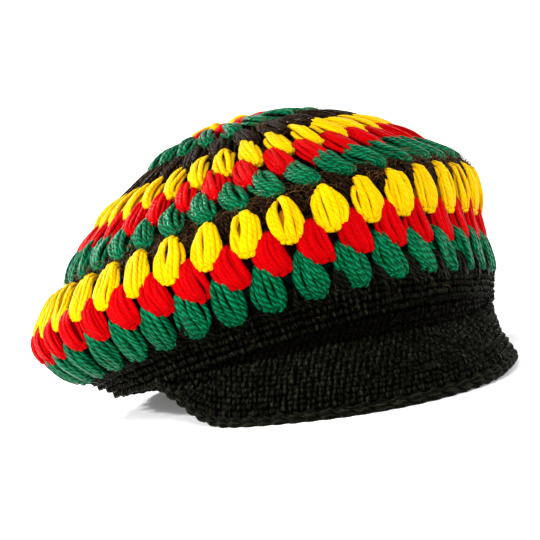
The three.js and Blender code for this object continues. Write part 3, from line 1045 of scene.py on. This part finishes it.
@dataclass
class RollRound(PuffRound):
    """The lowest round: dark puffs over rows of crochet that roll under to the band."""

    rows: int = 5
    stitches: int = 206
    first_level: float = 0.02
    row_level: float = 0.155
    level_height: float = 17.5
    row_start: float = 0.05
    slope_step: float = 0.08
    under_rows: tuple[float, ...] = (0.3, 0.72)
    under_row: float = 2.6
    under_rise: float = 0.8
    under_clear: float = 0.4
    band_overlap: float = 0.6
    band_inset: float = 0.8
    fold: float = 2.2
    leg: float = 1.4
    droop: float = 4.0
    droop_level: float = 0.6
    droop_held: float = 0.7

    def _drooped(self, points: Array, level: Array) -> Array:
        """Returns the points sunk as far as the roll droops at their level."""
        sunk = points.copy()
        pinch = self.crown.pinch(np.arctan2(points[..., 1], points[..., 0]))
        fall = self.droop * (1 - self.droop_held * pinch)
        sunk[..., 2] -= fall * np.clip(1 - level / self.droop_level, 0, 1) ** 1.3
        return sunk

    def _wall(self, strands: Strands) -> None:
        """Adds the closed wall from the roll to the band's upper edge, and the rows on it."""
        columns = self.plan.puffs * self.wall_columns
        angle = np.arange(columns) * 2 * math.pi / columns
        crown = self.crown
        outer = np.array([0.0, 0.2, 0.45, 0.7, 1.04])
        inner = np.linspace(1.04, 0.25, 6)
        level, turn = np.meshgrid(np.concatenate([outer, inner]), angle)
        inside = np.arange(level.shape[1]) >= len(outer)
        depth = np.where(inside, crown.wall_at(level), self.wall_back)
        point, normal, _ = crown.frame_at(level, turn + level * crown.twist)
        sections = self._drooped(point - normal * depth[..., None], np.where(inside, 1.0, level))
        hem = self._drooped(crown.point(np.zeros(columns), angle), np.zeros(columns))
        edge = np.full(columns, crown.band_height - self.band_overlap)
        foot = [
            crown.band_point(angle, edge, -crown.band_wall),
            crown.band_point(angle, edge, -self.band_inset),
            crown.band_point(angle, hem[:, 2] + self.fold, -self.band_inset),
        ]
        sections = np.concatenate([sections, np.stack(foot, 1)], 1)
        # The wall is painted shade: the crease colour at three tenths
        strands.ring_body(sections[:, ::-1], 0.3)
        self._rows(strands)

    def _rows(self, strands: Strands) -> None:
        """Adds the rows of single crochet over the roll and under it to the band."""
        crown = self.crown
        step = 2 * math.pi / self.stitches
        width = step * crown.stitch_radius
        over = Stitch(width, self.row_level * self.level_height, self.leg)
        under = Stitch(width, self.under_row, self.leg)
        for row in range(self.rows):
            start = 0.5 * (row % 2) + self.rng.normal(0, self.row_start)
            angle = (np.arange(self.stitches) + start) * step
            level = np.full(self.stitches, self.first_level + row * self.row_level)
            turn = angle + level * crown.twist
            centre, normal, along = crown.frame_at(level, turn)
            higher = level + self.slope_step
            above, _, _ = crown.frame_at(higher, turn)
            centre = self._drooped(centre, level)
            down = unit(centre - self._drooped(above, higher))
            over.work(strands, centre, unit(along), down, normal, self.rng)
        for row, share in enumerate(self.under_rows):
            angle = (np.arange(self.stitches) + 0.5 * ((row + 1) % 2)) * step
            hem = self._drooped(crown.point(0 * angle, angle), 0 * angle)
            band = crown.band_point(angle, hem[:, 2] + self.under_rise, self.under_clear)
            down = unit(band - hem)
            sideways = np.stack([-np.sin(angle), np.cos(angle), 0 * angle], -1)
            normal = unit(np.cross(sideways, down))
            normal = normal * np.sign(-normal[:, 2:])
            centre = hem * (1 - share) + band * share
            under.work(strands, centre, sideways, down, normal, self.rng)


# The band, the peak and its cord


@dataclass
class Headband:
    """The close headband: a wall with rows of single crochet on its outside."""

    crown: CrownShape
    rest: Rest
    finish: bpy.types.Material
    stitches: int = 204
    rows: int = 7
    leg: float = 1.35
    hidden_rows: int = 2
    row_place: float = 0.56
    inset: float = 1.0
    ridge: float = 0.7
    weave: float = 0.35

    def build(self) -> bpy.types.Object:
        """Builds the band.

        Returns:
            The piece, riding on the hat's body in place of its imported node.
        """
        strands = Strands(self.rest)
        self._wall(strands)
        self._stitches(strands)
        made = strands.piece("headband", self.finish)
        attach(made, "root")
        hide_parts("band")
        return made

    def _wall(self, strands: Strands) -> None:
        """Adds the band's wall, with the backs of its stitches on the inside."""
        columns = self.stitches * 2
        pitch = self.crown.band_height / self.rows
        angle = np.arange(columns) * 2 * math.pi / columns
        steps = np.linspace(0.0, self.crown.band_height - 0.6, self.rows * 2 + 1)
        sections = [
            self.crown.band_point(angle, z, -self.inset)
            for z in np.linspace(0.3, self.crown.band_height - 0.8, 4)
        ]
        for z in steps[::-1]:
            ridge = np.abs(np.sin(z / pitch * math.pi))
            weave = self.weave * np.cos((np.arange(columns) + math.floor(z / pitch)) * math.pi)
            depth = self.ridge - self.crown.band_wall - (self.ridge + weave) * ridge
            sections.append(self.crown.band_point(angle, z, depth))
        body = np.stack(sections, 1)
        # The wall is painted shade: the crease colour at three quarters
        strands.ring_body(body[:, ::-1], 0.75)

    def _stitches(self, strands: Strands) -> None:
        """Adds the stitches of the rows below the roll, each row half a stitch on from the last."""
        rng = np.random.default_rng(7)
        pitch = self.crown.band_height / self.rows
        step = 2 * math.pi / self.stitches
        seen = np.arange(self.rows - self.hidden_rows)
        row, place = np.meshgrid(seen, np.arange(self.stitches), indexing="ij")
        row, place = row.ravel(), place.ravel()
        angle = (place + 0.5 * (row % 2)) * step
        height = np.clip((row + self.row_place) * pitch, 1.4, self.crown.band_height - 1.6)
        centre = self.crown.band_point(angle, height, 0 * angle)
        sideways = unit(self.crown.band_point(angle + 0.01, height, 0 * angle) - centre)
        down = np.broadcast_to(np.array([0.0, 0.0, -1.0]), centre.shape)
        normal = np.cross(sideways, down)
        stitch = Stitch(step * self.crown.stitch_radius, pitch, self.leg)
        stitch.work(strands, centre, sideways, down, normal, rng)


@dataclass
class Peak:
    """The soft peak, worked in rows that follow its edge."""

    crown: CrownShape
    rest: Rest
    finish: bpy.types.Material
    half_angle: float = math.radians(70)
    reach: float = 36.5
    drop: float = 24.0
    thickness: float = 5.0
    camber: float = 3.0
    climb: float = 12.0
    climb_from: float = 0.35
    climb_over: float = 0.5
    thinned: float = 0.9
    thin_from: float = 0.5
    thin_over: float = 0.4
    plate_inset: float = 1.0
    plate_share: float = 0.93
    gap: float = 0.5
    row: float = 2.75
    stitch: float = 2.9
    leg: float = 1.35
    cord_radius: float = 3.0
    row_ends: float = 0.985
    first_row: float = 0.55
    slack: float = 1.02

    def edge(self, share: Array) -> tuple[Array, Array]:
        """Returns the reach and drop of the edge, as shares, at each share of the half angle."""
        table = np.array(PEAK_EDGE)
        found = smooth_through(table[:, 0], table[:, 1:], np.clip(np.ravel(share), -1, 1))
        return found[:, 0].reshape(np.shape(share)), found[:, 1].reshape(np.shape(share))

    def point(self, share: Array, across: Array) -> Array:
        """Returns points of the peak's middle surface, from the band (0) to the cord (1)."""
        share, across = np.broadcast_arrays(np.asarray(share, float), np.asarray(across, float))
        reach, drop = self.edge(share)
        angle = -math.pi / 2 + share * self.half_angle
        climb = self.climb * np.clip((share - self.climb_from) / self.climb_over, 0, 1) ** 1.5
        root = self.thickness / 2 + climb
        height = root * (1 - across) - drop * self.drop * across
        height = height + self.camber * reach * 4 * across * (1 - across)
        ease = np.clip(across / 0.2, 0, 1)
        clear = self.gap + self.half_depth(share) * ease * ease * (3 - 2 * ease)
        margin = np.maximum(clear, self.gap * (1 - across) + reach * self.reach * across)
        return self.crown.band_point(angle, height, margin)

    def half_depth(self, share: Array) -> Array:
        """Returns half the peak's thickness, which shrinks where it tucks under the roll."""
        tucked = np.clip((share - self.thin_from) / self.thin_over, 0, 1) ** 1.5
        return self.thickness / 2 * (1 - self.thinned * tucked)

    def normal(self, share: Array, across: Array) -> Array:
        """Returns the upward normal of the peak's middle surface."""
        step = 0.02
        outwards = self.point(share, across + step) - self.point(share, across - step)
        sideways = self.point(share + step, across) - self.point(share - step, across)
        return unit(-np.cross(sideways, outwards))

    def build(self) -> bpy.types.Object:
        """Builds the peak.

        Returns:
            The piece, riding on the hat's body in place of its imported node.
        """
        strands = Strands(self.rest)
        self._plate(strands)
        self._stitches(strands, 1)
        self._stitches(strands, -1)
        made = strands.piece("peak_crochet", self.finish)
        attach(made, "root")
        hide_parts("peak")
        return made

    def _plate(self, strands: Strands) -> None:
        """Adds the firm middle of the peak, under the stitches of both faces."""
        share = np.linspace(-self.plate_share, self.plate_share, 97)
        across = np.linspace(0.0, 1.0, 9)
        share, across = np.meshgrid(share, across, indexing="ij")
        point = self.point(share, across)
        normal = self.normal(share, np.maximum(across, 0.03))
        half = np.maximum(self.half_depth(share) - self.plate_inset, 0.3)[..., None]
        sections = np.concatenate([point - normal * half, (point + normal * half)[:, ::-1]], 1)
        # The plate is painted shade: the crease colour at seven tenths
        strands.open_body(sections, 0.7)

    def _stitches(self, strands: Strands, face: int) -> None:
        """Adds the rows of stitches of the upper face (1) or the underside (-1)."""
        rng = np.random.default_rng(20 + face)
        shares = np.linspace(-self.row_ends, self.row_ends, 600)
        first, last = self.point(shares, 0.0 * shares), self.point(shares, 0.0 * shares + 1)
        length = np.linalg.norm(last - first, axis=-1) * self.slack
        rows = int(length.max() / self.row)
        places: list[Array] = []
        for row in range(rows):
            inwards = self.cord_radius * self.first_row + self.row * (row + 0.5)
            across = 1 - inwards / length
            line = self.point(shares, np.clip(across, 0, 1))
            travel = travelled(line)
            middle = travel[len(travel) // 2]
            marks = (np.arange(-60, 61) + 0.5 * (row % 2)) * self.stitch + middle
            marks = marks[(marks > 0) & (marks < travel[-1])]
            share = np.interp(marks, travel, shares)
            held = np.interp(share, shares, across)
            places.append(np.stack([share, held], -1)[held > -0.02])
        share, held = np.concatenate(places).T
        held = np.clip(held, 0.02, 0.98)
        step = 0.01
        normal = face * self.normal(share, np.maximum(held, 0.03))
        sideways = unit(self.point(share + step, held) - self.point(share - step, held))
        down = unit(self.point(share, held + step) - self.point(share, held - step))
        centre = self.point(share, held) + normal * self.half_depth(share)[:, None]
        stitch = Stitch(self.stitch, self.row, self.leg)
        stitch.work(strands, centre, sideways, down, normal, rng)


@dataclass
class PeakCord:
    """The corded edge of the peak: slanting stitches that wind round it like a rope."""

    peak: Peak
    finish: bpy.types.Material
    stitches: int = 38
    starts: int = 3
    yarns: int = 2
    offset: float = 1.75
    strand: float = 1.3
    yarn_apart: float = 0.42
    lump_out: float = 0.25
    lump_size: float = 0.4
    yarn_tone: float = 0.1

    def build(self) -> bpy.types.Object:
        """Builds the cord.

        Returns:
            The piece, riding on the hat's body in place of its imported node.
        """
        strands = Strands(self.peak.rest)
        share = np.linspace(-1, 1, self.stitches * 6 + 1)
        centre = self.peak.point(share, np.ones_like(share))
        ahead = unit(np.gradient(centre, axis=0))
        side = unit(np.cross(ahead, np.array([0.0, 0.0, 1.0])))
        over = np.cross(side, ahead)
        travel = travelled(centre)
        spiral = travel / travel[-1] * self.stitches / self.starts * 2 * math.pi
        lump = np.cos(spiral * self.starts)
        out = (self.offset + self.lump_out * lump)[:, None]
        radius = self.strand * (1 + self.lump_size * lump)[None]
        for start in range(self.starts):
            for yarn in range(self.yarns):
                turned = start + (yarn - 0.5) * self.yarn_apart
                turn = -spiral + turned * 2 * math.pi / self.starts
                away = np.cos(turn)[:, None] * side + np.sin(turn)[:, None] * over
                path = (centre + away * out)[None]
                tone = 1.0 + self.yarn_tone * yarn
                strands.tubes(path, away[None], radius, 1.0, tone, 7, away[None])
        made = strands.piece("peak_cord_rope", self.finish)
        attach(made, "root")
        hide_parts("peak_cord")
        return made


@dataclass
class StrayHairs:
    """Loose golden-brown fibres that stand out of the dark rounds."""

    crown: CrownShape
    rest: Rest
    finish: bpy.types.Material
    rounds: tuple[tuple[int, int], ...] = ((4, 1700), (8, 600), (0, 300))
    thickness: float = 0.1
    taper: tuple[float, ...] = (1.0, 1.0, 0.95, 0.8, 0.4)
    root: float = -4.6
    stand: tuple[float, float] = (1.5, 5.5)
    swing: tuple[float, float] = (0.14, 0.12)
    sweep: tuple[float, float] = (0.035, 0.04)
    skew: float = 0.3
    shades: tuple[float, float] = (0.3, 1.4)

    def build(self) -> bpy.types.Object:
        """Builds the fibres.

        Returns:
            The piece, riding on the hat's body.
        """
        rng = np.random.default_rng(5)
        strands = Strands(self.rest)
        for index, number in self.rounds:
            level = index + rng.uniform(-0.05, 1.05, (number, 1))
            angle = rng.uniform(0, 2 * math.pi, (number, 1))
            t = np.linspace(0, 1, len(self.taper))[None]
            swing = self._bend(rng, number, self.swing)
            sweep = self._bend(rng, number, self.sweep)
            rise = rng.uniform(*self.stand, (number, 1)) * np.sin(t * math.pi * 0.8)
            height = self.root + rise
            at = np.clip(level + swing, 0.02, len(ROUNDS) - 0.2)
            point, normal, _ = self.crown.frame_at(at, angle + sweep)
            path = point + normal * height[..., None]
            radius = self.thickness * np.array([self.taper]) * np.ones((number, 1))
            skew = unit(normal + self.skew * rng.normal(0, 1, (number, 1, 3)))
            strands.tubes(path, skew, radius, 1.0, rng.uniform(*self.shades, number), 3, skew)
        made = strands.piece("stray_hairs", self.finish)
        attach(made, "root")
        return made

    def _bend(self, rng: np.random.Generator, number: int, sizes: tuple[float, float]) -> Array:
        """Returns how far each fibre strays along its length, evenly and then ever faster."""
        t = np.linspace(0, 1, len(self.taper))[None]
        even = rng.normal(0, sizes[0], (number, 1)) * t
        return even + rng.normal(0, sizes[1], (number, 1)) * t**2


# The studio


@dataclass
class Studio:
    """The pale floor that curves up to a wall all round, the soft lights and the camera."""

    target: tuple[float, float, float] = (-0.00061, 0.01381, 0.05666)
    distance: float = 1.05
    azimuth: float = math.radians(-22.114)
    elevation: float = math.radians(4.569)
    roll: float = math.radians(10.171)
    lens: float = 144.03
    bowl_flat: float = 1.6
    bowl_reach: float = 3.4
    sky: float = 0.5

    def build(self) -> None:
        """Sets up the floor, the lights, the sky and the camera."""
        self._floor()
        self._lights()
        self._sky()
        self._camera()

    def _floor(self) -> None:
        """Adds the seamless white floor."""
        around = 96
        bend = np.linspace(0, math.pi / 2, 16)
        rise = self.bowl_reach - self.bowl_flat
        radius = np.concatenate([[0.02, 0.5, 1.0], self.bowl_flat + rise * np.sin(bend)])
        height = np.concatenate([[0, 0, 0], rise * (1 - np.cos(bend))])
        turn = np.arange(around) * 2 * math.pi / around
        x = radius[:, None] * np.cos(turn)
        y = radius[:, None] * np.sin(turn)
        z = height[:, None] + 0 * x
        points = np.stack([x, y, z], -1).reshape(-1, 3)
        faces = [tuple(range(around))]
        for ring in range(len(radius) - 1):
            for step in range(around):
                over = (step + 1) % around
                faces.append((
                    ring * around + step, (ring + 1) * around + step,
                    (ring + 1) * around + over, ring * around + over,
                ))
        mesh = bpy.data.meshes.new("studio_floor")
        mesh.from_pydata(points.tolist(), [], faces)
        mesh.shade_smooth()
        mesh.materials.append(PaleFinish().material())
        floor = bpy.data.objects.new("studio_floor", mesh)
        bpy.context.scene.collection.objects.link(floor)

    def _lights(self) -> None:
        """Adds the soft key light, its fill, the light over the hat and two small rim lights."""
        self._area("key", (-0.7, -1.1, 1.2), 0.6, 17.5)
        self._area("fill", (1.3, -0.8, 0.8), 1.0, 11.0)
        self._area("over", (0.1, 0.5, 1.7), 1.2, 5.0)
        self._area("rim", (-1.25, 0.35, 0.75), 0.12, 22.0)
        self._area("back_rim", (-0.42, 1.2, 0.62), 0.08, 13.0)

    def _area(
        self, name: str, place: tuple[float, float, float], size: float, power: float,
    ) -> None:
        """Adds a square light aimed at the hat.

        Args:
            name: The light's name.
            place: Where it stands, in metres.
            size: Its side, in metres.
            power: Its power, in watts.
        """
        light = bpy.data.lights.new(name, "AREA")
        light.size = size
        light.energy = power
        lamp = bpy.data.objects.new(name, light)
        lamp.location = place
        aim = Vector(self.target) - Vector(place)
        lamp.rotation_euler = aim.to_track_quat("-Z", "Y").to_euler()
        bpy.context.scene.collection.objects.link(lamp)

    def _sky(self) -> None:
        """Lights the scene evenly from all round."""
        world = bpy.data.worlds.new("studio_sky")
        world.use_nodes = True
        back = world.node_tree.nodes["Background"]
        back.inputs["Color"].default_value = (1.0, 1.0, 1.0, 1.0)
        back.inputs["Strength"].default_value = self.sky
        bpy.context.scene.world = world
        view = bpy.context.scene.view_settings
        view.view_transform = "Standard"
        view.look = "None"
        view.exposure = 0.0

    def _camera(self) -> None:
        """Puts the camera where the photograph was taken from."""
        ca, sa = math.cos(self.azimuth), math.sin(self.azimuth)
        ce, se = math.cos(self.elevation), math.sin(self.elevation)
        back = Vector((sa * ce, -ca * ce, se))
        level_right = Vector((ca, sa, 0.0))
        level_up = back.cross(level_right)
        right = math.cos(self.roll) * level_right - math.sin(self.roll) * level_up
        up = math.sin(self.roll) * level_right + math.cos(self.roll) * level_up
        lens = bpy.data.cameras.new("photo_camera")
        lens.lens = self.lens
        lens.sensor_width = 36.0
        lens.clip_start, lens.clip_end = 0.01, 50.0
        camera = bpy.data.objects.new("photo_camera", lens)
        place = Vector(self.target) + back * self.distance
        camera.matrix_world = Matrix((
            (right.x, up.x, back.x, place.x),
            (right.y, up.y, back.y, place.y),
            (right.z, up.z, back.z, place.z),
            (0.0, 0.0, 0.0, 1.0),
        ))
        bpy.context.scene.collection.objects.link(camera)
        bpy.context.scene.camera = camera


def finishes() -> dict[Yarn, bpy.types.Material]:
    """Returns the material of each yarn."""
    # Each yarn has a painted crease shade, its own colour and a painted highlight
    return {
        Yarn.BLACK: YarnFinish(
            "black_yarn",
            (0.0001, 0.0002, 0.0001), (0.0008, 0.0019, 0.001), (0.019, 0.0175, 0.0095),
            roughness=0.32, specular=0.03, specular_tint=(1.0, 0.8, 0.6), ply_contrast=0.5,
        ).material(),
        Yarn.GREEN: YarnFinish(
            "green_yarn", (0.0, 0.006, 0.003), (0.0, 0.085, 0.025), (0.0, 0.28, 0.12),
            roughness=0.32, specular=0.08, specular_tint=(0.2, 1.0, 0.7), ply_contrast=0.55,
        ).material(),
        Yarn.RED: YarnFinish(
            "red_yarn", (0.3, 0.0, 0.001), (0.42, 0.0, 0.001), (0.48, 0.001, 0.001),
            specular=0.015, specular_tint=(1.0, 0.5, 0.5), ply_contrast=0.2, bump=0.5,
        ).material(),
        Yarn.YELLOW: YarnFinish(
            "yellow_yarn", (0.52, 0.2, 0.0), (0.7, 0.44, 0.0), (0.78, 0.51, 0.0),
            specular=0.02, specular_tint=(1.0, 1.0, 0.6), ply_contrast=0.35, bump=0.5,
        ).material(),
    }


def styles() -> dict[int, PuffStyle]:
    """Returns how the puffs of each round are worked."""
    proud = (
        (0.0, 0.6), (0.1, 0.85), (0.3, 1.0), (0.6, 1.0), (0.8, 0.9), (0.92, 0.75), (1.0, 0.45),
    )
    peaked = (
        (0.0, 0.68), (0.07, 0.8), (0.16, 0.93), (0.28, 1.0), (0.42, 1.0), (0.6, 0.9), (0.75, 0.75),
        (0.88, 0.56), (1.0, 0.3),
    )
    domed = (
        (0.0, 0.5), (0.12, 0.82), (0.3, 1.0), (0.5, 1.0), (0.7, 0.85), (0.85, 0.55), (1.0, 0.15),
    )
    return {
        0: PuffStyle(
            tip=0.3, fullness=0.45, plump=3.2, seat=-2.6, foot_turn=-6.0, top_shift=-2.0,
            foot_lift=0.0, chain=0, tangle=1.4,
        ),
        1: PuffStyle(
            tip=-0.32, seat=-3.8, foot_turn=-10.0, top_shift=-4.0, foot_lift=2.8, bulge=1.5,
            tangle=1.3,
        ),
        2: PuffStyle(
            tip=-0.32, seat=-4.2, chain=3, bulge=2.5, tangle=0.8, strand=1.5, flat=0.58,
            spacing=1.15,
        ),
        3: PuffStyle(
            foot_shift=2.0, tip_turn=-0.12, top=1.54, dome=0.3, ply_gap=0.4, rise=proud,
            width=peaked, bulge=2.5, tangle=0.9, strand=1.45, flat=0.62, spacing=1.2,
        ),
        4: PuffStyle(fullness=0.44, plump=3.2, seat=-5.8, top=1.25),
        5: PuffStyle(
            plump=4.6, seat=-5.2, top_shift=-4.0, top=1.36, rise=domed, tangle=1.3,
        ),
        6: PuffStyle(
            fullness=0.44, tip=-0.46, plump=4.6, seat=-5.2, top_shift=-3.0, top=1.36, rise=domed,
            chain=3, tangle=0.8, strand=1.45, flat=0.6, spacing=1.15,
        ),
        7: PuffStyle(
            fullness=0.42, tip=-0.42, top_shift=-3.5, ply_gap=0.4, top=1.4, dome=0.28, plump=4.6,
            seat=-5.0, rise=domed, width=peaked, tangle=0.9, strand=1.4, flat=0.65, spacing=1.2,
        ),
        8: PuffStyle(fullness=0.44, plump=4.0, seat=-4.8, top=1.3, rise=domed),
        9: PuffStyle(fullness=0.42, tip=-0.16, plump=4.6, top=1.3, rise=domed, chain=3, tangle=1.3),
        10: PuffStyle(tip=-0.2, plump=3.0, top=1.2, chain=2),
        11: PuffStyle(fullness=0.46, plump=2.6, top=0.93, dome=0.05, seat=-3.4, chain=2),
    }


def main() -> None:
    """Builds the hat round by round, then the studio, and reports each piece."""
    logging.basicConfig(level=logging.INFO, format="%(message)s")
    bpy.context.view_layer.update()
    crown, rest, yarns = CrownShape(), Rest(), finishes()
    work = styles()
    # Like every yarn, this one and the hair below have a painted crease shade, their own colour and
    # a painted highlight
    brown = YarnFinish(
        "brown_black_yarn", (0.0006, 0.0002, 0.0001), (0.006, 0.0026, 0.001), (0.045, 0.02, 0.007),
        specular=0.02, specular_tint=(1.0, 0.7, 0.5), ply_contrast=0.5,
    ).material()
    for index, plan in enumerate(ROUNDS):
        kind = RollRound if index == 0 else PuffRound
        finish = brown if index in (4, 8) else yarns[plan.yarn]
        made = kind(crown, rest, index, work[index], finish).build()
        log.info("round %d is %s", index, made.name)
    Headband(crown, rest, yarns[Yarn.BLACK]).build()
    peak = Peak(crown, rest, yarns[Yarn.BLACK])
    peak.build()
    PeakCord(peak, yarns[Yarn.BLACK]).build()
    hair = YarnFinish(
        "brown_hair", (0.14, 0.06, 0.015), (0.34, 0.16, 0.045), (0.75, 0.42, 0.14),
    ).material()
    StrayHairs(crown, rest, hair).build()
    Studio().build()


if __name__ == "__main__":
    main()
